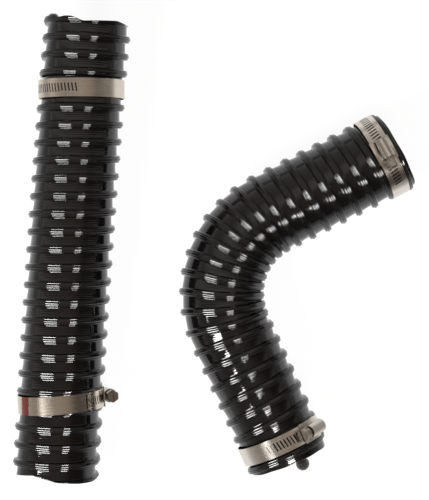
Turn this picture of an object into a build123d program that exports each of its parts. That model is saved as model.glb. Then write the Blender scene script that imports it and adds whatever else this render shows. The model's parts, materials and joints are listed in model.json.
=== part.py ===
from build123d import *
import os
from dataclasses import dataclass
from math import atan, cos, degrees, pi, radians, sin

# Two ribbed drain hoses lie on a floor, each with two worm-drive clamps. Millimetres, +Z up.
# The first hose is straight and rests on one clamp's housing. The second is bent and rests on its ribs.
# Each hose is two arms and a flexible middle. Stations run along its centreline from the middle of
# the flexible part, positive towards the upper arm.

# Hose wall: a thin film with a round rib on it
bore_radius = 38.1
film_thickness = 0.9
rib_height = 4.5
rib_base_width = 6.6
rib_flank_width = 1.7
floor_flat = 0.5

film_radius = bore_radius + film_thickness
crest_radius = film_radius + rib_height
rest_height = crest_radius - floor_flat
rib_crest_width = rib_base_width - 2 * rib_flank_width

# Lengths of the hoses: arms, the bare margin at each mouth, and the rib pitch of the flexible middle
straight_upper_length = 134.75
straight_lower_length = 137.75
straight_upper_margin = 3.5
straight_lower_margin = 6.5
straight_middle_pitch = 17.5
bent_upper_length = 141.0
bent_lower_length = 143.6
bent_upper_margin = 3.5
bent_lower_margin = 7.0
bent_middle_pitch = 13.68

# How far each clamp is from its mouth, and how far it presses the ribs in
clamp_1_distance = 73.5
clamp_2_distance = 82.0
clamp_3_distance = 17.1
clamp_4_distance = 23.4
usual_press = 1.0
clamp_2_press = 1.3

# Clamp band and its tail, made of one thickness of strip
band_width = 18.0
band_thickness = 0.7
slot_pitch = 3.6
slot_width = 1.4
slot_length = 8.6
slot_slant = 10.0
tail_corner = 3.0
tail_slot_margin = 5.0
tail_start_angle = -14.0
band_gap_angle = 1.5
moving_gap = 0.3
seat_gap = 0.05

# Clamp saddle and screw housing
saddle_thickness = 0.6
saddle_width = 15.0
housing_length = 24.0
housing_thickness = 0.9
leg_gap = 0.2
barrel_length = 19.0
barrel_end_wall = 1.0

# Worm screw
screw_height = 6.9
thread_depth = 1.1
thread_top = 1.0
neck_radius = 3.0
neck_length = 2.8
pin_radius = 1.8
pin_length = 2.0
collar_radius = 6.2
collar_thickness = 1.2
head_across_flats = 11.4
head_height = 6.8
head_chamfer = 0.7
driver_slot_width = 1.7
driver_slot_depth = 2.4

# Wire that stands out of the bent hose's lower mouth, and the round cap on it
wire_radius = 1.2
cap_radius = 6.9
cap_reach = 13.6
wire_side_offset = 10.2
wire_overlength = 4.0
cap_floor_gap = 0.4


@dataclass(frozen=True)
class Arm:
    """A straight end of a hose: its length, its ribs and how far the last rib is from the mouth."""
    length: float
    rib_count: int
    mouth_margin: float

    @property
    def rib_pitch(self):
        return (self.length - self.mouth_margin) / (self.rib_count - 0.5)


@dataclass(frozen=True)
class Hose:
    """A hose: a flexible middle, bent through an angle, and an arm at each end."""
    name: str
    upper: Arm
    lower: Arm
    middle_pitch: float
    middle_ribs: int
    bend_degrees: float

    @property
    def half_middle(self):
        return self.middle_pitch * self.middle_ribs / 2


@dataclass(frozen=True)
class Clamp:
    """A clamp's place on its hose. Angles are about its own axis, 0 at the top, towards its left."""
    name: str
    hose: Hose
    on_upper: bool
    mouth_distance: float
    faces_up_hose: bool
    tilt: float
    housing_angle: float
    tail_sweep: float
    slotted_sweep: float
    press: float

    @property
    def band_radius(self):
        return crest_radius - self.press


straight_hose = Hose(
    "straight_hose",
    Arm(straight_upper_length, 8, straight_upper_margin),
    Arm(straight_lower_length, 8, straight_lower_margin),
    straight_middle_pitch, 11, 0.0,
)
bent_hose = Hose(
    "bent_hose",
    Arm(bent_upper_length, 8, bent_upper_margin),
    Arm(bent_lower_length, 8, bent_lower_margin),
    bent_middle_pitch, 10, 87.84,
)

clamps = [
    Clamp("clamp_1", straight_hose, True, clamp_1_distance, False, 4.1, 180.0, 60.0, 178.0, usual_press),
    Clamp("clamp_2", straight_hose, False, clamp_2_distance, False, 8.4, -110.0, 66.0, 110.0, clamp_2_press),
    Clamp("clamp_3", bent_hose, True, clamp_3_distance, True, 1.0, -6.5, 61.2, 120.0, usual_press),
    Clamp("clamp_4", bent_hose, False, clamp_4_distance, False, 0.0, -46.0, 73.0, 120.0, usual_press),
]

# Where the middle of each hose lies on the floor, and how far it is turned from +Y
straight_place_x = -141.66
straight_place_y = 1.5
straight_heading = -4.1
bent_place_x = 13.53
bent_place_y = -13.42
bent_heading = -19.26


def bend_radius(hose):
    """Radius of the bent middle's centreline."""
    return 2 * hose.half_middle / radians(hose.bend_degrees)


def station_plane(hose, station):
    """The cross-section plane at a station: its normal runs along the hose and its X axis is up."""
    half = hose.half_middle
    inside = max(-half, min(half, station))
    beyond = station - inside
    heading = radians(hose.bend_degrees) * inside / (2 * half)
    if hose.bend_degrees:
        radius = bend_radius(hose)
        x = radius * (1 - cos(heading))
        y = radius * sin(heading)
    else:
        x = 0.0
        y = inside
    tangent = (sin(heading), cos(heading), 0)
    origin = (x + beyond * tangent[0], y + beyond * tangent[1], 0)
    return Plane(origin=origin, x_dir=(0, 0, 1), z_dir=tangent)


def mouth_station(hose, on_upper):
    """The station of a hose's cut end."""
    if on_upper:
        return hose.half_middle + hose.upper.length
    return -hose.half_middle - hose.lower.length


def arm_rib_stations(hose, arm, side):
    """Stations of an arm's ribs. The first is half a pitch from the flexible middle."""
    return [side * (hose.half_middle + arm.rib_pitch * (k + 0.5)) for k in range(arm.rib_count)]


def middle_rib_stations(hose):
    """Stations of the ribs on the flexible middle, evenly spaced."""
    first = -hose.half_middle + hose.middle_pitch / 2
    return [first + hose.middle_pitch * k for k in range(hose.middle_ribs)]


def clamp_station(clamp):
    """The station of a clamp's middle."""
    inward = -1 if clamp.on_upper else 1
    return mouth_station(clamp.hose, clamp.on_upper) + inward * clamp.mouth_distance


def saddle_radius(clamp):
    """Inner radius of a clamp's saddle, which is what comes nearest to the hose."""
    return clamp.band_radius - band_thickness - seat_gap - saddle_thickness


def pressed_radius(clamp):
    """The radius that a clamp presses the ribs down to, which leaves room for the clamp's tilt."""
    tilt = radians(clamp.tilt)
    return saddle_radius(clamp) * cos(tilt) - saddle_width / 2 * sin(tilt) - moving_gap


def rib_crest(hose, station):
    """Crest radius of the rib at a station: full, or pressed down where a clamp reaches over it."""
    radius = crest_radius
    for clamp in clamps:
        swing = clamp.band_radius * sin(radians(clamp.tilt))
        reach = (band_width + rib_base_width) / 2 + swing + moving_gap
        if clamp.hose is hose and abs(station - clamp_station(clamp)) < reach:
            radius = min(radius, pressed_radius(clamp))
    return radius


def rib_circles(hose, station):
    """The four circles of one rib, on parallel planes."""
    plane = station_plane(hose, station)
    crest = rib_crest(hose, station)
    base = rib_base_width / 2
    top = rib_crest_width / 2
    steps = [(-base, film_radius), (-top, crest), (top, crest), (base, film_radius)]
    return [plane.offset(step) * Circle(radius) for step, radius in steps]


def bore_tool(hose, start, end):
    """The hose's bore between two stations, which are both in an arm or both ends of the middle."""
    overrun = film_thickness
    start_plane = station_plane(hose, start)
    end_plane = station_plane(hose, end)
    if hose.bend_degrees and abs(start) <= hose.half_middle and abs(end) <= hose.half_middle:
        axis = Axis((bend_radius(hose), 0, 0), (0, 0, -1))
        tool = revolve(start_plane * Circle(bore_radius), axis, hose.bend_degrees)
        tool += extrude(start_plane * Circle(bore_radius), -overrun)
        return tool + extrude(end_plane * Circle(bore_radius), overrun)
    return extrude(start_plane.offset(-overrun) * Circle(bore_radius), end - start + 2 * overrun)


def ribbed_tube(hose, start, end, rib_stations):
    """A length of hose wall between two stations: ribs on a film, with the bore through it."""
    circles = [station_plane(hose, start) * Circle(film_radius)]
    for station in sorted(rib_stations):
        circles += rib_circles(hose, station)
    circles.append(station_plane(hose, end) * Circle(film_radius))
    return loft(circles, ruled=True) - bore_tool(hose, start, end)


def hose_walls(hose):
    """The three lengths of a hose's wall, by node name."""
    half = hose.half_middle
    upper_end = mouth_station(hose, True)
    lower_end = mouth_station(hose, False)
    upper_ribs = arm_rib_stations(hose, hose.upper, 1)
    lower_ribs = arm_rib_stations(hose, hose.lower, -1)
    return {
        hose.name + "_upper": ribbed_tube(hose, half, upper_end, upper_ribs),
        hose.name + "_middle": ribbed_tube(hose, -half, half, middle_rib_stations(hose)),
        hose.name + "_lower": ribbed_tube(hose, lower_end, -half, lower_ribs),
    }


def strip(inner_radius, thickness, width, start_angle, end_angle):
    """A strip bent round Z at an inner radius, between two angles in degrees."""
    sweep_angle = end_angle - start_angle
    inner = CenterArc((0, 0), inner_radius, start_angle, sweep_angle)
    outer = CenterArc((0, 0), inner_radius + thickness, start_angle, sweep_angle)
    face = make_face([inner, Line(inner @ 1, outer @ 1), outer, Line(outer @ 0, inner @ 0)])
    return extrude(face, width / 2, both=True)


def slots(radius, start_angle, end_angle):
    """The tools that cut a row of slanted slots in a strip between two angles."""
    step = degrees(slot_pitch / radius)
    count = int((end_angle - start_angle) / step)
    tool = Box(4 * band_thickness, slot_width, slot_length)
    tool = Pos(radius, 0, 0) * Rot(slot_slant, 0, 0) * tool
    return [Rot(0, 0, start_angle + step * k) * tool for k in range(count + 1)]


def make_band(clamp):
    """The band's loop. Its two ends meet under the housing, with a narrow gap between them."""
    inner = clamp.band_radius - band_thickness
    loop = strip(inner, band_thickness, band_width, tail_start_angle, 360 + tail_start_angle - band_gap_angle)
    middle = inner + band_thickness / 2
    entry = degrees(housing_length / 2 / middle)
    first = 360 - clamp.slotted_sweep
    return loop - slots(middle, first, 360 - entry)


def tail_radius(clamp):
    """Inner radius of the tail, which slides over the loop."""
    return clamp.band_radius + moving_gap


def make_tail(clamp):
    """The slotted free end: it starts under the worm, leaves below the head and lies on the loop."""
    inner = tail_radius(clamp)
    tail = strip(inner, band_thickness, band_width, tail_start_angle, clamp.tail_sweep)
    end = Rot(0, 0, clamp.tail_sweep) * Pos(inner + band_thickness / 2, 0, 0)
    end_face = tail.faces().sort_by_distance(end.position)[0]
    corners = [edge for edge in end_face.edges() if abs(edge.center().Z) > band_width / 2 - seat_gap]
    tail = fillet(corners, tail_corner)
    margin = degrees(tail_slot_margin / inner)
    return tail - slots(inner + band_thickness / 2, tail_start_angle + margin, clamp.tail_sweep - margin)


def make_saddle(clamp):
    """The curved plate inside the loop that the housing's pull presses on the hose."""
    half_angle = degrees(housing_length / 2 / clamp.band_radius)
    return strip(saddle_radius(clamp), saddle_thickness, saddle_width, -half_angle, half_angle)


def along_screw(clamp, start, end, radius):
    """A cylinder on the screw's axis, between two distances along it towards the head."""
    axis_plane = Plane(origin=(clamp.band_radius + screw_height, start, 0), x_dir=(0, 0, 1), z_dir=(0, 1, 0))
    return extrude(axis_plane * Circle(radius), end - start)


def worm_radius():
    """The worm's outer radius: it reaches down to just above the tail."""
    return screw_height - 2 * moving_gap - band_thickness


def barrel_radius():
    """The barrel's outer radius."""
    return worm_radius() + moving_gap + housing_thickness


def make_housing(clamp):
    """The screw housing: a curved plate over the tail, a leg down each edge of the band and a barrel."""
    passage_radius = tail_radius(clamp) + band_thickness + moving_gap
    passage_width = band_width + 2 * leg_gap
    outer_width = passage_width + 2 * housing_thickness
    half_angle = degrees(housing_length / 2 / passage_radius)
    leg_radius = clamp.band_radius - band_thickness
    cover = strip(leg_radius, passage_radius + housing_thickness - leg_radius, outer_width,
                  -half_angle, half_angle)
    half_barrel = barrel_length / 2
    housing = cover + along_screw(clamp, -half_barrel, half_barrel, barrel_radius())
    housing -= Cylinder(passage_radius, passage_width)
    inside = half_barrel - barrel_end_wall
    housing -= along_screw(clamp, -inside, inside, worm_radius() + moving_gap)
    past_end = half_barrel + barrel_end_wall
    housing -= along_screw(clamp, 0, past_end, neck_radius + moving_gap)
    return housing - along_screw(clamp, -past_end, 0, pin_radius + moving_gap)


def worm_profile():
    """Half of the worm's section, as (distance along the screw, radius), with its ring of threads."""
    outer = worm_radius()
    core = outer - thread_depth
    half = barrel_length / 2 - barrel_end_wall - moving_gap
    rise = (slot_pitch - 2 * thread_top) / 2
    count = int(2 * half / slot_pitch)
    points = [(-half, 0), (-half, core)]
    for k in range(count):
        start = (k - count / 2) * slot_pitch + thread_top / 2
        points += [(start, core), (start + rise, outer)]
        points += [(start + rise + thread_top, outer), (start + 2 * rise + thread_top, core)]
    return points + [(half, core), (half, 0)]


def make_screw(clamp):
    """The worm screw: pin, worm, neck, collar and a slotted hexagon head."""
    axis_x = clamp.band_radius + screw_height
    outline = [(axis_x + radius, along) for along, radius in worm_profile()]
    worm = revolve(make_face(Polyline(outline, close=True)), Axis((axis_x, 0, 0), (0, 1, 0)), 360)
    half = barrel_length / 2 - barrel_end_wall - moving_gap
    collar_start = barrel_length / 2 + neck_length
    head_start = collar_start + collar_thickness
    head_end = head_start + head_height
    screw = worm + along_screw(clamp, -half - pin_length, -half, pin_radius)
    screw += along_screw(clamp, half, collar_start, neck_radius)
    screw += along_screw(clamp, collar_start, head_start, collar_radius)
    head_plane = Plane(origin=(axis_x, head_start, 0), x_dir=(0, 0, 1), z_dir=(0, 1, 0))
    hexagon = RegularPolygon(head_across_flats / 2, 6, major_radius=False)
    head = extrude(head_plane * hexagon, head_height)
    head &= along_screw(clamp, head_start, head_end, collar_radius)
    head = chamfer(head.faces().sort_by(Axis.Y)[-1].edges(), head_chamfer)
    driver_slot = Box(driver_slot_width, 2 * driver_slot_depth, 3 * collar_radius)
    return screw + (head - Pos(axis_x, head_end, 0) * driver_slot)


def clamp_plane(clamp):
    """A clamp's frame on its hose: Z is its axis, X points out at its housing, Y towards the head."""
    plane = station_plane(clamp.hose, clamp_station(clamp))
    along = plane.z_dir if clamp.faces_up_hose else -plane.z_dir
    along = along.rotate(Axis.Z, clamp.tilt)
    up = Vector(0, 0, 1)
    angle = radians(clamp.housing_angle)
    outward = up * cos(angle) + along.cross(up) * sin(angle)
    return Plane(origin=plane.origin, x_dir=outward, z_dir=along)


def clamp_parts(clamp):
    """A clamp's five pieces in its hose's frame, by node name."""
    place = clamp_plane(clamp).location
    return {
        clamp.name + "_band": place * make_band(clamp),
        clamp.name + "_tail": place * make_tail(clamp),
        clamp.name + "_saddle": place * make_saddle(clamp),
        clamp.name + "_housing": place * make_housing(clamp),
        clamp.name + "_screw": place * make_screw(clamp),
    }


def wire_parts():
    """The wire's end at the bent hose's lower mouth, from the wall's cut edge to its round cap."""
    plane = station_plane(bent_hose, mouth_station(bent_hose, False))
    outward = -plane.z_dir
    side = Vector(0, 0, 1).cross(outward)
    wall = bore_radius + film_thickness / 2
    drop = (wall ** 2 - wire_side_offset ** 2) ** 0.5
    start = plane.origin + side * wire_side_offset - Vector(0, 0, drop)
    cap_drop = rest_height - cap_radius - cap_floor_gap
    centre = plane.origin + side * wire_side_offset + outward * cap_reach - Vector(0, 0, cap_drop)
    run = centre - start
    rod_plane = Plane(origin=start - run.normalized() * wire_overlength, z_dir=run)
    rod = extrude(rod_plane * Circle(wire_radius), run.length + wire_overlength)
    beyond_mouth = Plane(origin=plane.origin, z_dir=outward)
    rod &= extrude(beyond_mouth * Circle(2 * crest_radius), cap_reach)
    return {"bent_hose_wire_end": rod, "bent_hose_wire_cap": Pos(*centre) * Sphere(cap_radius) - rod}


def straight_pitch():
    """How far the straight hose is tipped up by the housing under it, in degrees."""
    clamp = clamps[0]
    housing_drop = clamp.band_radius + screw_height + barrel_radius() + seat_gap
    last_rib = arm_rib_stations(straight_hose, straight_hose.lower, -1)[-1]
    return degrees(atan((housing_drop - rest_height) / (clamp_station(clamp) - last_rib)))


def hose_location(hose):
    """Where a hose's own frame lies in the kit."""
    if hose is bent_hose:
        return Pos(bent_place_x, bent_place_y, rest_height) * Rot(0, 0, bent_heading)
    pitch = radians(straight_pitch())
    last_rib = arm_rib_stations(hose, hose.lower, -1)[-1]
    height = rest_height * cos(pitch) - last_rib * sin(pitch)
    turn = Rot(0, 0, straight_heading) * Rot(straight_pitch(), 0, 0)
    return Pos(straight_place_x, straight_place_y, height) * turn


def hinge_frame(hose, side):
    """The pivot of an arm, halfway between the hose's middle and the arm, as a location in the kit."""
    plane = station_plane(hose, side * hose.half_middle / 2)
    return hose_location(hose) * Location(plane.origin)


def clamp_frame(clamp):
    """A clamp's frame in the kit."""
    return hose_location(clamp.hose) * clamp_plane(clamp).location


def make_kit():
    """Every node of the kit in place, by name."""
    hose_reach = mouth_station(straight_hose, True) - mouth_station(straight_hose, False)
    floor_depth = crest_radius
    below_floor = Pos(0, 0, -floor_depth / 2) * Box(2 * hose_reach, 2 * hose_reach, floor_depth)
    kit = {}
    for hose in (straight_hose, bent_hose):
        place = hose_location(hose)
        for name, wall in hose_walls(hose).items():
            kit[name] = place * wall - below_floor
    for name, piece in wire_parts().items():
        kit[name] = hose_location(bent_hose) * piece
    for clamp in clamps:
        for name, piece in clamp_parts(clamp).items():
            kit[name] = hose_location(clamp.hose) * piece
    return kit


if __name__ == "__main__":
    os.makedirs("parts", exist_ok=True)
    for name, piece in make_kit().items():
        export_step(piece, "parts/" + name + ".step")
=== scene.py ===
"""Looks of a drain hose kit: a straight and a bent ribbed hose, four worm-drive clamps and a capped wire end.

Lengths are in metres. Each hose is first made straight along its own Y, with X to its right and Z up, and is
then laid along its centreline.
"""
import json
from collections import namedtuple
from math import cos, pi, radians, sin

import bmesh
import bpy
import numpy as np
from mathutils import Matrix, Vector

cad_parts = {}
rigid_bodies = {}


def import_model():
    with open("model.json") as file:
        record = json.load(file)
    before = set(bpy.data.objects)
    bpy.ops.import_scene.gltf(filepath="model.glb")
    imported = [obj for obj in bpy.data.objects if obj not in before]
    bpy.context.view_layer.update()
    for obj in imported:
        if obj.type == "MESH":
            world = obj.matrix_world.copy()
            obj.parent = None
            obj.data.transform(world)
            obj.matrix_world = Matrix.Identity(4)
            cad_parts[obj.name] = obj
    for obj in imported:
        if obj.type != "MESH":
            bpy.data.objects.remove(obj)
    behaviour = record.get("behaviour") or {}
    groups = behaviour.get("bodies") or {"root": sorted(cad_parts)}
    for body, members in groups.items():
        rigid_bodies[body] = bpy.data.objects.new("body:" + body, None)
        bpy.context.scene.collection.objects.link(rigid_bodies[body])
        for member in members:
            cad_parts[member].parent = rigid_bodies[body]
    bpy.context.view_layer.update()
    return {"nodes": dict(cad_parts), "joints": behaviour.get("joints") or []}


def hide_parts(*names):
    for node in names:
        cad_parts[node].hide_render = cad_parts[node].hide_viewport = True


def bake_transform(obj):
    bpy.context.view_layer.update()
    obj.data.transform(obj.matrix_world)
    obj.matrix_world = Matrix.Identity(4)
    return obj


MM = 0.001

# The hose's section, as in the CAD
BORE = 38.1 * MM
FILM = 39.0 * MM
BENT_DEGREES = 87.84

# The rib: three beads side by side on a rounded ridge, with a fillet at its foot
BEAD_SPACING = 2.4 * MM
BEAD_CURVE = 2.0 * MM
SHOULDER_DROP = 0.75 * MM
RIDGE_DROP = 0.5 * MM
RIDGE_HALF = 3.75 * MM
FLANK_REACH = 3.5 * MM
FILLET_HEIGHT = 1.2 * MM
RIB_HALF = 4.4 * MM
HALF_RIB = [side * MM for side in (0.35, 0.7, 1.0, 1.25, 1.5, 1.8, 2.1, 2.4, 2.7, 3.0, 3.25, 3.5, 3.75,
                                   4.1, 4.4)]
RIB_OFFSETS = [-side for side in reversed(HALF_RIB)] + [0.0] + HALF_RIB
STRAIGHT_RIB_HEIGHT = 4.4 * MM
BENT_RIB_HEIGHT = 3.9 * MM

# The film between two ribs: fine folds, steep on one side, on a slight sag
FOLDS = 4
FOLD_HEIGHT = 0.075 * MM
FOLD_RISE = 0.75
SAG = 0.1 * MM
LAP_EASE = 0.2 * MM
VALLEY_SAMPLES = 19

# The winding
PITCH = 17.5 * MM
EVEN_TURNS = 5
UPPER_TURNS = (0, 14)
LOWER_TURNS = (-15, -1)
LEAST_STRETCH = 0.52
MOST_STRETCH = 1.6
BEND_EASE = 12 * MM

# The wall's mesh
COLUMNS = 96
BORE_STEPS = 30
BORE_UV_STEP = 2 * MM
LIP = 0.25 * MM
SKIN = 0.3 * MM
FLOOR_GAP = 0.15 * MM
WELD_REACH = 1e-6
DEGENERATE_REACH = 1e-7
NO_LENGTH = 1e-9

# Clamps
BAND_HALF_WIDTH = 9.0 * MM
PRESS_GAP = 0.12 * MM
PRESS_REACH = 16 * MM
PRESS_EASE = 0.4 * MM
PRESS_SLOPE = 0.55
SADDLE_THICKNESS = 0.6 * MM
SADDLE_GAP = 0.15 * MM
SADDLE_SPREAD = 0.42
SADDLE_STEEPNESS = 4
CREST = 43.5 * MM
TAIL_TURN = radians(34)
TAIL_REACH = cos(radians(23))
TAIL_EASE = 0.01
SLOT_INNER = 0.0046
SLOT_OUTER = 0.0054
WARM = (0.80, 0.74, 0.66)
CLEAR = (0.83, 0.80, 0.76)
STEEL_TONES = {"clamp_1": WARM, "clamp_2": WARM, "clamp_3": CLEAR, "clamp_4": CLEAR}
SHEET = (0.72, 0.69, 0.64)
SCREW = (0.60, 0.57, 0.52)
WIRE = (0.50, 0.48, 0.46)
# Near-black painted shade for the slots' walls and for the band where the tail covers it
SLOT_SHADE_COLOUR = (0.012, 0.010, 0.009)
SATIN = 0.22

# Depths of the finest relief, which is in the materials' bump
DRAW_LINES = 0.00005
CREASES = 0.0001
GRAIN = 0.00007
DENTS = 0.0001
PEEL = 0.0001
PRESSES = {"clamp_1": 1.0 * MM, "clamp_2": 1.3 * MM, "clamp_3": 1.0 * MM, "clamp_4": 1.0 * MM}
STRIPED = "clamp_2"
STRIPE_RED = (0.23, 0.02, 0.012)
STRIPE_NEAR = (0.0274, 0.0281)
STRIPE_FAR = (0.0352, 0.0359)
STRIPE_EDGE = 0.0006

# Light from the studio by its angle from straight up, in degrees. STUDIO runs from left to right, and
# BACK_SHADES, which is added to it, is towards the back.
STUDIO = (
    (-112, (0.80, 0.79, 0.78)), (-92, (0.42, 0.39, 0.36)), (-60, (0.22, 0.195, 0.17)),
    (-30, (0.24, 0.22, 0.20)), (0, (0.30, 0.27, 0.235)), (30, (0.22, 0.18, 0.15)),
    (48, (0.06, 0.052, 0.046)), (88, (0.07, 0.062, 0.056)), (112, (0.60, 0.59, 0.58)),
)
BACK_SHADES = ((8, 0.0), (17, 0.5), (30, 0.4), (42, 0.08), (62, 0.2), (88, 0.42), (112, 0.0))
BACK_TINT = (1.0, 0.96, 0.93)
FLOOR_SIZE = 8
FLOOR_DROP = 0.0002
FLOOR_EMISSION = 0.93
# Distance from the middle, and how brightly the floor shows in reflections there
FLOOR_NEAR = (0.27, 0.85)
FLOOR_FAR = (0.42, 0.3)

# Each lamp's name, how far it stands to the right and to the back for each unit up, its width and length
LAMPS = (("left", -0.80, -0.54, 0.85, 0.30), ("right", 0.40, -0.72, 0.45, 0.30))
LAMP_DISTANCE = 1.6
# The pair on the hoses and floor is far above a plain level, so that the glints on the ribs come out white
LAMP_LEVELS = (("hoses", True, 62), ("clamps", False, 2.0))

SENSOR_HEIGHT = 36
LENS = 110.2
EYE = (0.00134, -0.0001, 1.573)

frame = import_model()
joints = {joint["name"]: joint for joint in frame["joints"]}


def joint_point(name):
    return Vector(joints[name]["pos_m"])


def joint_axis(name):
    return Vector(joints[name]["axis"]).normalized()


# ---------------------------------------------------------------- centrelines

class Straight:
    """The straight hose's centreline. It bows a little to the left in its middle."""

    def __init__(self):
        upper = joint_point("straight_hose_bend")
        lower = joint_point("straight_hose_bend_lower")
        self.up = joint_axis("straight_hose_bend")
        self.along = (upper - lower).normalized()
        self.right = self.along.cross(self.up)
        self.middle = (upper + lower) / 2
        self.half_middle = (upper - lower).length

    def bow(self, s):
        return (-0.8 + 1.8 * ((s / MM + 30.0) / 215.0) ** 2) * MM

    def place(self, x, s, z):
        """World places of points x right of, and z above, the centreline at stations s."""
        side = x + self.bow(s)
        return (np.array(self.middle) + np.outer(s, self.along) + np.outer(side, self.right)
                + np.outer(z, self.up))

    def stretch(self, s, theta, radius):
        return np.ones_like(s)


class Bent:
    """The bent hose's centreline: an arc between two straight arms, with its centre on the right."""

    def __init__(self):
        upper = joint_point("bent_hose_straighten")
        lower = joint_point("bent_hose_straighten_lower")
        self.up = Vector((0, 0, 1))
        self.along = (upper - lower).normalized()
        self.right = self.along.cross(self.up)
        quarter = radians(BENT_DEGREES) / 4
        self.radius = (upper - lower).length / (2 * sin(quarter))
        self.half_middle = self.radius * radians(BENT_DEGREES) / 2
        self.middle = (upper + lower) / 2 - self.right * self.radius * (1 - cos(quarter))

    def place(self, x, s, z):
        inside = np.clip(s, -self.half_middle, self.half_middle)
        turn = inside / self.radius
        beyond = s - inside
        ahead = (self.radius - x) * np.sin(turn) + beyond * np.cos(turn)
        side = self.radius - (self.radius - x) * np.cos(turn) + beyond * np.sin(turn)
        return (np.array(self.middle) + np.outer(ahead, self.along) + np.outer(side, self.right)
                + np.outer(z, self.up))

    def stretch(self, s, theta, radius):
        """Length along the wall for each unit of station: shorter on the inside of the bend."""
        ease = np.clip((self.half_middle - np.abs(s)) / BEND_EASE + 0.5, 0, 1)
        return 1 - ease * radius * np.sin(theta) / self.radius


# ---------------------------------------------------------------- each hose's own winding

def bump(value, centre, width):
    return np.exp(-((value - centre) / width) ** 2)


def straight_winding(turn):
    """Stations of the crest, in metres. The pitch changes a little towards each mouth."""
    upper = np.maximum(turn - EVEN_TURNS, 0)
    lower = np.minimum(turn + EVEN_TURNS, 0)
    return PITCH * turn + (0.3 * lower - 0.4 * upper) * MM


def bent_winding(turn):
    """The ribs are closer together in the bend than in the arms. The last one stands by the upper mouth."""
    inside = np.clip(turn, -EVEN_TURNS, EVEN_TURNS)
    upper = np.maximum(turn - EVEN_TURNS, 0)
    lower = np.minimum(turn + EVEN_TURNS, 0)
    cuff = 7.0 * np.clip(turn - 11, 0, 1)
    return (-2.0 + 14.98 * inside + 17.5 * upper + 17.9 * lower + cuff) * MM


def straight_lean(s):
    """How far a rib's right side runs ahead of its turn."""
    return (-2.0 * bump(s / MM, 235, 90) - 1.0 * bump(s / MM, -220, 80)) * MM


def bent_lean(s):
    """As straight_lean. The wall is dragged round the bend, and the last ribs lean with the mouths."""
    drag = -7.0 * bump(s / MM, -52, 60) + 2.9 * bump(s / MM, 68, 25)
    mouths = -3.5 * bump(s / MM, 203, 12) - 2.4 * bump(s / MM, -206, 14)
    return (drag + mouths) * MM


def straight_fall(s):
    """How much lower the film is where it reaches the next rib than where it leaves this one."""
    return 0.7 * MM + 0 * s


def bent_fall(s):
    """As straight_fall. It changes sign in the lower arm, where the film laps the other way."""
    return (-0.25 + 1.05 * np.tanh((s / MM + 74) / 8)) * MM


def straight_upper_end(theta):
    """A rough cut: high on the left, with a nick beside it, and lowest near the top of the hose."""
    angles = (-180, -62, -48, -38, -28, -18, -6, -2, 46, 70, 180)
    stations = (226.0, 228.5, 227.7, 223.4, 225.5, 225.5, 222.6, 221.4, 224.6, 222.5, 226.0)
    return np.interp(np.degrees(theta), angles, stations) * MM


def straight_lower_end(theta):
    angles = (-180, -83, -30, 5, 37, 60, 85, 180)
    stations = (-229.0, -228.5, -223.0, -226.9, -227.8, -227.2, -224.6, -229.0)
    return np.interp(np.degrees(theta), angles, stations) * MM


def bent_upper_end(theta):
    return (207.8 + 1.4 * np.sin(theta) + 0.25 * np.sin(7 * theta)) * MM


def bent_lower_end(theta):
    return (-210.6 - 1.4 * np.sin(theta) + 0.25 * np.sin(9 * theta)) * MM


# ---------------------------------------------------------------- the wall

def rib_height(offset, height):
    """Height of the rib above the film at one offset from its crest."""
    reach = abs(offset)
    if reach > FLANK_REACH:
        return FILLET_HEIGHT * ((RIB_HALF - reach) / (RIB_HALF - FLANK_REACH)) ** 2
    if reach > BEAD_SPACING:
        out = (reach - BEAD_SPACING) / (FLANK_REACH - BEAD_SPACING)
        return FILLET_HEIGHT + (height - SHOULDER_DROP - FILLET_HEIGHT) * (1 - out ** 2) ** 0.5
    ridge = (height - RIDGE_DROP) * (1 - (reach / RIDGE_HALF) ** 2) ** 0.5
    beads = ((0.0, 0.0), (BEAD_SPACING, SHOULDER_DROP))
    return max(ridge, *(height - drop - BEAD_CURVE + max(BEAD_CURVE ** 2 - (reach - place) ** 2, 0) ** 0.5
                        for place, drop in beads))


def fold(part):
    """A fine fold that rises slowly and drops quickly."""
    return part / FOLD_RISE if part < FOLD_RISE else (1 - part) / (1 - FOLD_RISE)


def film_height(part, lap):
    """The film sags a little between two ribs, with fine folds in it that drop the way it laps."""
    sag = SAG * (1 - (2 * part - 1) ** 2)
    ahead = 0.5 + 0.5 * np.tanh(lap / LAP_EASE)
    place = (FOLDS * part) % 1
    ripple = ahead * fold(place) + (1 - ahead) * fold(1 - place) - 0.5
    return FOLD_HEIGHT * ripple * sin(pi * part) ** 0.5 - sag


# A hose's centreline, the shape functions of its winding and the height of its rib
Hose = namedtuple("Hose", "line winding lean fall rib")


def crest_line(hose, turn, theta):
    """Stations of one turn's crest, around the hose."""
    here = hose.winding(turn + theta / (2 * pi))
    return here + hose.lean(here) * np.sin(theta)


def crowding(hose, stations, theta):
    """Length along the wall for each unit of station, within what a rib can take."""
    return np.clip(hose.line.stretch(stations, theta, CREST), LEAST_STRETCH, MOST_STRETCH)


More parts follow.
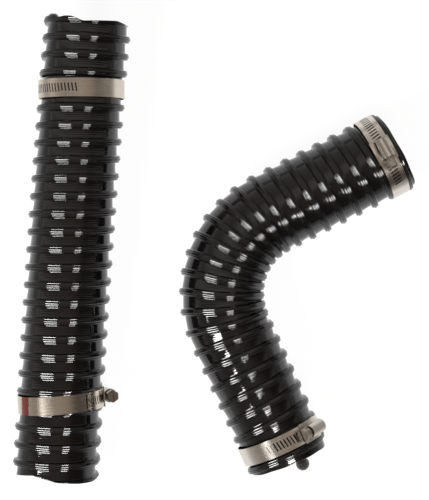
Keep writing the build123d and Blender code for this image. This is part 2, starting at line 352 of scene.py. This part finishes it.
def wall_columns(hose, theta, first_turn, last_turn):
    """Stations and radii of the outer wall, as rows along the hose and columns around it."""
    stations = []
    radii = []
    phases = []
    for turn in range(first_turn, last_turn + 1):
        here = crest_line(hose, turn, theta)
        ahead = crest_line(hose, turn + 1, theta)
        shrink = crowding(hose, here, theta)
        lap = hose.fall(here)
        for offset in RIB_OFFSETS:
            stations.append(here + offset / shrink)
            radii.append(FILM + rib_height(offset, hose.rib) + lap * offset / (2 * RIB_HALF))
            phases.append(turn * PITCH + offset)
        start = here + RIB_HALF / shrink
        stop = ahead - RIB_HALF / crowding(hose, ahead, theta)
        for step in range(1, VALLEY_SAMPLES + 1):
            part = step / (VALLEY_SAMPLES + 1)
            stations.append(start + (stop - start) * part)
            radii.append(FILM + film_height(part, lap) + lap * (0.5 - part))
            phases.append(turn * PITCH + RIB_HALF + (PITCH - 2 * RIB_HALF) * part)
    return np.array(stations), np.array(radii), phases


def closing_row(hose, stations, radii, theta):
    """Adds the first row of the next rib, where the lower half meets the upper one."""
    here = crest_line(hose, 0, theta)
    row = here - RIB_HALF / crowding(hose, here, theta)
    edge = FILM + rib_height(-RIB_HALF, hose.rib) - hose.fall(here) / 2
    return np.vstack([stations, row]), np.vstack([radii, edge])


def cut_columns(stations, radii, end, upper):
    """Ends each column at the mouth's cut line, with the wall's own radius there."""
    for column in range(stations.shape[1]):
        place = stations[:, column]
        limit = end[column]
        radius = np.interp(limit, place, radii[:, column])
        beyond = place > limit if upper else place < limit
        stations[beyond, column] = limit
        radii[beyond, column] = radius


def press_under_clamp(points, clamp):
    """Holds the wall inside the band, and further in below the saddle."""
    centre, axis, screw = clamp["centre"], clamp["axis"], clamp["screw"]
    offset = points - np.array(centre)
    axial = offset @ np.array(axis)
    radial = offset - np.outer(axial, axis)
    distance = np.linalg.norm(radial, axis=1)
    out = (screw - centre) - axis * (screw - centre).dot(axis)
    facing = radial @ np.array(out.normalized()) / np.maximum(distance, NO_LENGTH)
    spread = np.maximum(np.abs(axial) - BAND_HALF_WIDTH - PRESS_EASE, 0)
    limit = clamp["inner"] - PRESS_GAP + spread * PRESS_SLOPE
    edge = cos(SADDLE_SPREAD)
    below = np.clip((facing - edge) / (1 - edge) * SADDLE_STEEPNESS, 0, 1)
    limit = limit - below * (SADDLE_THICKNESS + SADDLE_GAP)
    pushed = (distance > limit) & (np.abs(axial) < PRESS_REACH)
    scale = np.where(pushed, limit / np.maximum(distance, NO_LENGTH), 1.0)
    moved = np.array(centre) + np.outer(axial, axis) + radial * scale[:, None]
    return np.where(pushed[:, None], moved, points)


def wall_rows(hose, end, upper):
    """Angles around the hose, and the rows from its middle to its mouth and back along its bore."""
    theta = np.linspace(-pi, pi, COLUMNS + 1)
    stations, radii, phases = wall_columns(hose, theta, *(UPPER_TURNS if upper else LOWER_TURNS))
    if not upper:
        stations, radii = closing_row(hose, stations, radii, theta)
        phases.append(-RIB_HALF)
    mouth = end(theta)
    cut_columns(stations, radii, mouth, upper)
    if not upper:
        stations, radii, phases = stations[::-1], radii[::-1], phases[::-1]
    rows = list(zip(stations, radii))
    sign = 1 if upper else -1
    rows.append((mouth + sign * LIP, (radii[-1] + BORE) / 2))
    for step in range(BORE_STEPS + 1):
        rows.append((mouth * (1 - step / BORE_STEPS), np.full_like(theta, BORE)))
    added = range(1, len(rows) - len(phases) + 1)
    return theta, rows, phases + [phases[-1] + sign * BORE_UV_STEP * step for step in added]


def lay_wall(mesh, line, clamp):
    """Lays the wall along its centreline, pressed in under its clamp and clear of the floor."""
    flat = mesh_points(mesh)
    laid = line.place(flat[:, 0], flat[:, 1], flat[:, 2])
    outer = np.hypot(flat[:, 0], flat[:, 2]) > BORE + SKIN
    laid = np.where(outer[:, None], press_under_clamp(laid, clamp), laid)
    laid[:, 2] = np.maximum(laid[:, 2], FLOOR_GAP)
    mesh.vertices.foreach_set("co", laid.astype(np.float32).ravel())
    mesh.update()
    for polygon in mesh.polygons:
        polygon.use_smooth = True


def build_wall(name, hose, end, upper, clamp, nodes):
    """Half of a hose, from the rib that starts at its middle to its mouth, with its bore."""
    line = hose.line
    theta, rows, phases = wall_rows(hose, end, upper)
    station = np.concatenate([row[0] for row in rows])
    radius = np.concatenate([row[1] for row in rows])
    around = np.tile(theta, len(rows))
    mesh = grid_mesh(name, radius * np.sin(around), station, radius * np.cos(around), len(rows),
                     flip=not upper)
    piece = bpy.data.objects.new(name, mesh)
    bpy.context.scene.collection.objects.link(piece)
    write_winding_uv(mesh, np.repeat(phases, COLUMNS + 1))
    weld(mesh)
    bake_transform(piece)
    lay_wall(mesh, line, clamp)
    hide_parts(*nodes)
    return piece


def grid_mesh(name, x, y, z, rows, flip):
    columns = COLUMNS + 1
    faces = []
    for row in range(rows - 1):
        for column in range(columns - 1):
            a = row * columns + column
            quad = (a, a + columns, a + columns + 1, a + 1)
            faces.append(quad[::-1] if flip else quad)
    mesh = bpy.data.meshes.new(name)
    mesh.from_pydata(np.column_stack([x, y, z]).tolist(), [], faces)
    return mesh


def weld(mesh):
    shape = bmesh.new()
    shape.from_mesh(mesh)
    bmesh.ops.remove_doubles(shape, verts=shape.verts, dist=WELD_REACH)
    bmesh.ops.dissolve_degenerate(shape, dist=DEGENERATE_REACH, edges=shape.edges)
    shape.to_mesh(mesh)
    shape.free()


def mesh_points(mesh):
    points = np.empty(len(mesh.vertices) * 3, np.float32)
    mesh.vertices.foreach_get("co", points)
    return points.reshape(-1, 3).astype(float)


def write_winding_uv(mesh, phases):
    """U is the distance round the hose and V the distance across the winding, both in metres."""
    layer = mesh.uv_layers.new(name="winding")
    around = np.tile(np.linspace(-pi, pi, COLUMNS + 1), len(phases) // (COLUMNS + 1)) * CREST
    loops = np.empty(len(mesh.loops), np.int32)
    mesh.loops.foreach_get("vertex_index", loops)
    pairs = np.column_stack([around[loops], phases[loops]])
    layer.data.foreach_set("uv", pairs.astype(np.float32).ravel())


# ---------------------------------------------------------------- materials

def add_node(tree, kind, inputs=None, **settings):
    """Adds a node. Each input is the value of its socket, or another node's output to link to it."""
    made = tree.nodes.new("ShaderNode" + kind)
    for key, value in settings.items():
        setattr(made, key, value)
    for key, value in (inputs or {}).items():
        if isinstance(value, bpy.types.NodeSocket):
            tree.links.new(value, made.inputs[key])
        else:
            made.inputs[key].default_value = value
    return made


class Shader:
    """A new material with a Principled surface, and short ways to add and join nodes."""

    def __init__(self, name):
        self.material = bpy.data.materials.new(name)
        self.material.use_nodes = True
        self.tree = self.material.node_tree
        self.surface = self.tree.nodes["Principled BSDF"]

    def node(self, kind, inputs=None, **settings):
        return add_node(self.tree, kind, inputs, **settings)

    def maths(self, operation, *values):
        return self.node("Math", dict(enumerate(values)), operation=operation).outputs[0]

    def vectors(self, operation, *values):
        return self.node("VectorMath", dict(enumerate(values)), operation=operation).outputs["Vector"]

    def dot(self, first, second):
        return self.node("VectorMath", {0: first, 1: second}, operation="DOT_PRODUCT").outputs["Value"]

    def place(self):
        return self.node("TexCoord").outputs["Object"]

    def painted(self, colour, where, paint):
        """The colour with a plain colour over it where the mask is 1: the stripe's paint, and painted shade.
        """
        mix = self.node("Mix", {"Factor": where}, data_type="RGBA")
        self.tree.links.new(colour, mix.inputs[6])
        mix.inputs[7].default_value = (*paint, 1)
        return mix.outputs[2]

    def scaled(self, vector, scale):
        mapping = self.node("Mapping", {"Vector": vector})
        mapping.inputs["Scale"].default_value = scale if isinstance(scale, tuple) else (scale,) * 3
        return mapping.outputs["Vector"]

    def noise(self, vector, detail=3.0, roughness=0.5):
        return self.node("TexNoise", {"Vector": vector, "Scale": 1.0, "Detail": detail,
                                      "Roughness": roughness}).outputs["Fac"]

    def ramp(self, value, low, high, to_low, to_high):
        return self.node("MapRange", {"Value": value, "From Min": low, "From Max": high,
                                      "To Min": to_low, "To Max": to_high}).outputs["Result"]

    def colours(self, value, first, second):
        ramp = self.node("ValToRGB", {"Fac": value})
        ramp.color_ramp.elements[0].color = (*first, 1)
        ramp.color_ramp.elements[1].color = (*second, 1)
        return ramp.outputs["Color"]

    def join(self, output, name):
        self.tree.links.new(output, self.surface.inputs[name])

    def bump(self, height, distance, strength=1.0, under=None):
        inputs = {"Height": height, "Distance": distance, "Strength": strength}
        if under is not None:
            inputs["Normal"] = under
        return self.node("Bump", inputs).outputs["Normal"]


def hose_vinyl():
    """Glossy black vinyl film, with draw lines along the winding and faint creases."""
    shader = Shader("hose_vinyl_gloss")
    uv = shader.node("TexCoord").outputs["UV"]
    dust = shader.noise(shader.scaled(uv, (45, 60, 1)), 4)
    shader.join(shader.colours(dust, (0.0012, 0.001, 0.001), (0.003, 0.0026, 0.0026)), "Base Color")
    smear = shader.noise(shader.scaled(uv, (30, 160, 1)), 3)
    shader.join(shader.ramp(smear, 0.3, 0.7, 0.05, 0.11), "Roughness")
    lines = shader.noise(shader.scaled(uv, (25, 1100, 1)), 2)
    creases = shader.noise(shader.scaled(uv, (60, 240, 1)), 3)
    drawn = shader.bump(lines, DRAW_LINES, 0.6)
    shader.join(shader.bump(creases, CREASES, 0.3, drawn), "Normal")
    shader.surface.inputs["IOR"].default_value = 1.52
    return shader.material


def painted_slot_shade(shader, clamp, tail_covers):
    """Where painted shade goes: 1 on the slots' walls and, on the band, on the strip that shows through the
    tail's slots.
    """
    coords = shader.node("TexCoord").outputs
    axis = tuple(clamp["axis"])
    from_centre = shader.vectors("SUBTRACT", coords["Object"], tuple(clamp["centre"]))
    along = shader.dot(from_centre, axis)
    ahead = shader.node("VectorMath", {0: axis, "Scale": along}, operation="SCALE").outputs["Vector"]
    radial = shader.vectors("NORMALIZE", shader.vectors("SUBTRACT", from_centre, ahead))
    facing = shader.maths("ABSOLUTE", shader.dot(coords["Normal"], radial))
    sideways = shader.maths("ABSOLUTE", shader.dot(coords["Normal"], axis))
    wall = shader.ramp(shader.maths("MAXIMUM", facing, sideways), 0.35, 0.65, 1.0, 0.0)
    if not tail_covers:
        return wall
    inside = shader.ramp(shader.maths("ABSOLUTE", along), SLOT_INNER, SLOT_OUTER, 1.0, 0.0)
    toward = shader.dot(radial, tuple(clamp["tail_way"]))
    covered = shader.ramp(toward, TAIL_REACH - TAIL_EASE, TAIL_REACH, 0.0, 1.0)
    return shader.maths("MAXIMUM", wall, shader.maths("MULTIPLY", inside, covered))


def paint_stripe(shader, clamp):
    """1 on a stripe across the band, on the left of the hose."""
    place = shader.place()
    out = shader.vectors("SUBTRACT", place, tuple(clamp["centre"]))
    edge = shader.noise(shader.scaled(place, 700), 2)
    ragged = shader.ramp(edge, 0.3, 0.7, -STRIPE_EDGE, STRIPE_EDGE)
    side = shader.maths("ADD", shader.dot(out, (-1, 0, 0)), ragged)
    start = shader.ramp(side, *STRIPE_NEAR, 0.0, 1.0)
    stop = shader.ramp(side, *STRIPE_FAR, 1.0, 0.0)
    above = shader.ramp(shader.node("SeparateXYZ", {0: out}).outputs["Z"], 0.0, 0.002, 0.0, 1.0)
    return shader.maths("MULTIPLY", shader.maths("MULTIPLY", start, stop), above)


def tinted(base, tint):
    return tuple(part * share for part, share in zip(base, tint))


def steel(name, clamp, base, slotted=False, tail_covers=False):
    """Satin stainless strip, brushed round the clamp's axis, with a thin brown film in places."""
    shader = Shader(name)
    place = shader.place()
    across = shader.node("CombineXYZ", {"X": shader.dot(place, tuple(clamp["axis"]))}).outputs["Vector"]
    fine = shader.scaled(across, (5200, 1, 1))
    grain = shader.noise(shader.vectors("ADD", fine, shader.scaled(place, 18)), 3)
    film = shader.noise(shader.scaled(place, 55), 4, 0.6)
    colour = shader.colours(film, tinted(base, (0.80, 0.73, 0.66)), base)
    # Painted shade on the slots' walls and, on the band, on the strip under the tail
    if slotted:
        colour = shader.painted(colour, painted_slot_shade(shader, clamp, tail_covers), SLOT_SHADE_COLOUR)
    shader.surface.inputs["Metallic"].default_value = 1.0
    if tail_covers and clamp["name"] == STRIPED:
        stripe = paint_stripe(shader, clamp)
        colour = shader.painted(colour, stripe, STRIPE_RED)
        shader.join(shader.ramp(stripe, 0.0, 1.0, 1.0, 0.0), "Metallic")
    shader.join(colour, "Base Color")
    shader.join(shader.ramp(grain, 0.3, 0.7, SATIN - 0.05, SATIN + 0.08), "Roughness")
    shader.join(shader.bump(grain, GRAIN, 0.5), "Normal")
    return shader.material


def mottled_steel(name, base, rough):
    """Plated and handled steel: small stains and dents, with no brushing."""
    shader = Shader(name)
    stains = shader.noise(shader.scaled(shader.place(), 420), 5, 0.65)
    shader.join(shader.colours(stains, tinted(base, (0.42, 0.34, 0.26)), base), "Base Color")
    shader.join(shader.ramp(stains, 0.35, 0.65, rough + 0.14, rough), "Roughness")
    shader.join(shader.bump(stains, DENTS, 0.4), "Normal")
    shader.surface.inputs["Metallic"].default_value = 1.0
    return shader.material


def cap_vinyl():
    """The satin cap on the wire's end, with a fine orange peel."""
    shader = Shader("cap_vinyl_satin")
    place = shader.place()
    peel = shader.noise(shader.scaled(place, 900), 2)
    marks = shader.noise(shader.scaled(place, 160), 4)
    shader.join(shader.colours(marks, (0.09, 0.088, 0.085), (0.15, 0.147, 0.142)), "Base Color")
    shader.join(shader.ramp(marks, 0.3, 0.7, 0.32, 0.45), "Roughness")
    shader.join(shader.bump(peel, PEEL, 0.3), "Normal")
    return shader.material


# ---------------------------------------------------------------- clamps

def clamp_facts(name):
    centre = joint_point(name + "_tail_slide")
    axis = joint_axis(name + "_tail_slide")
    screw = joint_point(name + "_tighten")
    out = ((screw - centre) - axis * (screw - centre).dot(axis)).normalized()
    head_way = -joint_axis(name + "_tighten")
    tail_way = (out * cos(TAIL_TURN) + head_way * sin(TAIL_TURN)).normalized()
    return {
        "name": name,
        "centre": centre,
        "axis": axis,
        "screw": screw,
        "inner": CREST - PRESSES[name],
        "tail_way": tail_way,
    }


def dress_clamp(clamp):
    name = clamp["name"]
    tone = STEEL_TONES[name]
    dress(name + "_band", steel(name + "_band_satin", clamp, tone, slotted=True, tail_covers=True))
    dress(name + "_tail", steel(name + "_tail_satin", clamp, tone, slotted=True))
    sheet = steel(name + "_sheet_satin", clamp, SHEET)
    dress(name + "_saddle", sheet)
    dress(name + "_housing", sheet)
    dress(name + "_screw", mottled_steel(name + "_screw_plated", SCREW, 0.24))


def dress(node, material):
    mesh = frame["nodes"][node].data
    mesh.materials.clear()
    mesh.materials.append(material)


# ---------------------------------------------------------------- stage

def make_floor():
    """White paper. Seen straight or in a reflection it is mostly a plain white glow."""
    bpy.ops.mesh.primitive_plane_add(size=FLOOR_SIZE, location=(0, 0, -FLOOR_DROP))
    floor = bpy.context.object
    floor.name = "floor"
    shader = Shader("floor_white")
    shader.tree.nodes.remove(shader.surface)
    grain = shader.noise(shader.place(), 2)
    paper = shader.colours(grain, (0.8, 0.8, 0.8), (0.82, 0.82, 0.82))
    diffuse = shader.node("BsdfDiffuse", {"Color": paper})
    rays = shader.node("LightPath").outputs
    out = shader.node("VectorMath", {0: shader.node("NewGeometry").outputs["Position"]}, operation="LENGTH")
    near = shader.ramp(out.outputs["Value"], FLOOR_NEAR[0], FLOOR_FAR[0], FLOOR_NEAR[1], FLOOR_FAR[1])
    strength = shader.maths("MAXIMUM", near, rays["Is Camera Ray"])
    light = shader.node("Emission", {"Color": (1, 1, 1, 1), "Strength": strength})
    seen = shader.maths("MAXIMUM", rays["Is Camera Ray"], rays["Is Glossy Ray"])
    seen = shader.maths("MAXIMUM", seen, rays["Is Transmission Ray"])
    share = shader.maths("MULTIPLY", seen, FLOOR_EMISSION)
    mix = shader.node("MixShader", {"Fac": share, 1: diffuse.outputs[0], 2: light.outputs[0]})
    shader.tree.links.new(mix.outputs[0], shader.tree.nodes["Material Output"].inputs["Surface"])
    floor.data.materials.append(shader.material)


def as_share(degrees):
    """An angle from -180 to 180 degrees as a part of the full circle, 0 to 1."""
    return (degrees + 180) / 360


def studio_light(tree, side, up, stops):
    """Light by the angle between up and one side, through the stops' angles and colours."""
    angle = add_node(tree, "Math", {0: side, 1: up}, operation="ARCTAN2").outputs[0]
    part = add_node(tree, "MapRange", {"Value": angle, "From Min": -pi, "From Max": pi}).outputs[0]
    ramp = add_node(tree, "ValToRGB", {"Fac": part})
    elements = ramp.color_ramp.elements
    for element, (degrees, colour) in ((elements[0], stops[0]), (elements[1], stops[-1])):
        element.position = as_share(degrees)
        element.color = (*colour, 1)
    for degrees, colour in stops[1:-1]:
        elements.new(as_share(degrees)).color = (*colour, 1)
    return ramp.outputs["Color"]


def make_world():
    """White to the camera. To the object it is a studio: dim overhead, brown walls, darker on the right."""
    world = bpy.data.worlds.new("studio")
    bpy.context.scene.world = world
    world.use_nodes = True
    tree = world.node_tree
    tree.nodes.clear()
    way = add_node(tree, "SeparateXYZ", {0: add_node(tree, "TexCoord").outputs["Generated"]}).outputs
    backs = [(degrees, tuple(shade * tint for tint in BACK_TINT)) for degrees, shade in BACK_SHADES]
    both = add_node(tree, "Mix", {"Factor": 1.0}, data_type="RGBA", blend_type="ADD")
    tree.links.new(studio_light(tree, way["X"], way["Z"], STUDIO), both.inputs[6])
    tree.links.new(studio_light(tree, way["Y"], way["Z"], backs), both.inputs[7])
    studio = add_node(tree, "Background", {"Color": both.outputs[2], "Strength": 1.0})
    white = add_node(tree, "Background", {"Color": (1, 1, 1, 1), "Strength": 1.0})
    seen = add_node(tree, "LightPath").outputs["Is Camera Ray"]
    mix = add_node(tree, "MixShader", {"Fac": seen, 1: studio.outputs[0], 2: white.outputs[0]})
    tree.links.new(mix.outputs[0], add_node(tree, "OutputWorld").inputs["Surface"])


def lit_pieces(name, hoses):
    """The hoses' walls and the floor, or every other mesh, as the collection that a light shines on."""
    group = bpy.data.collections.new(name)
    for piece in list(bpy.context.scene.objects):
        if piece.type == "MESH" and ("_wall_" in piece.name or piece.name == "floor") == hoses:
            group.objects.link(piece)
    return group


def soft_box(name, right, back, width, length, radiance, lit):
    """A rectangular light aimed at the object. Right and back are how far it stands off for each unit up."""
    light = bpy.data.lights.new(name, "AREA")
    light.shape = "RECTANGLE"
    light.size = width
    light.size_y = length
    light.energy = radiance * pi * width * length
    lamp = bpy.data.objects.new(name, light)
    away = Vector((right, back, 1)).normalized()
    lamp.location = away * LAMP_DISTANCE
    across = (Vector((1, 0, 0)) - away * away.x).normalized()
    lamp.rotation_mode = "QUATERNION"
    lamp.rotation_quaternion = Matrix((across, away.cross(across), away)).transposed().to_quaternion()
    lamp.light_linking.receiver_collection = lit
    bpy.context.scene.collection.objects.link(lamp)


def make_camera():
    camera = bpy.data.cameras.new("camera")
    camera.sensor_fit = "VERTICAL"
    camera.sensor_height = SENSOR_HEIGHT
    camera.lens = LENS
    eye = bpy.data.objects.new("camera", camera)
    eye.location = EYE
    bpy.context.scene.collection.objects.link(eye)
    bpy.context.scene.camera = eye


# ---------------------------------------------------------------- all of it

def make_lamps():
    for kind, hoses, radiance in LAMP_LEVELS:
        lit = lit_pieces("lit_" + kind, hoses)
        for side, right, back, width, length in LAMPS:
            soft_box("soft_box_" + side + "_" + kind, right, back, width, length, radiance, lit)


def main():
    clamps = {name: clamp_facts(name) for name in PRESSES}
    straight = Hose(Straight(), straight_winding, straight_lean, straight_fall, STRAIGHT_RIB_HEIGHT)
    bent = Hose(Bent(), bent_winding, bent_lean, bent_fall, BENT_RIB_HEIGHT)
    halves = (
        ("straight_wall_upper", straight, straight_upper_end, True, "straight_upper_arm", "clamp_1",
         ("straight_hose_upper", "straight_hose_middle")),
        ("straight_wall_lower", straight, straight_lower_end, False, "straight_lower_arm", "clamp_2",
         ("straight_hose_lower",)),
        ("bent_wall_upper", bent, bent_upper_end, True, "bent_upper_arm", "clamp_3",
         ("bent_hose_upper", "bent_hose_middle")),
        ("bent_wall_lower", bent, bent_lower_end, False, "bent_lower_arm", "clamp_4",
         ("bent_hose_lower",)),
    )
    vinyl = hose_vinyl()
    for name, hose, end, upper, body, clamp, nodes in halves:
        piece = build_wall(name, hose, end, upper, clamps[clamp], nodes)
        piece.data.materials.append(vinyl)
    for clamp in clamps.values():
        dress_clamp(clamp)
    dress("bent_hose_wire_end", mottled_steel("wire_drawn", WIRE, 0.3))
    dress("bent_hose_wire_cap", cap_vinyl())
    make_floor()
    make_world()
    make_lamps()
    make_camera()
    bpy.context.scene.view_settings.view_transform = "Standard"


main()
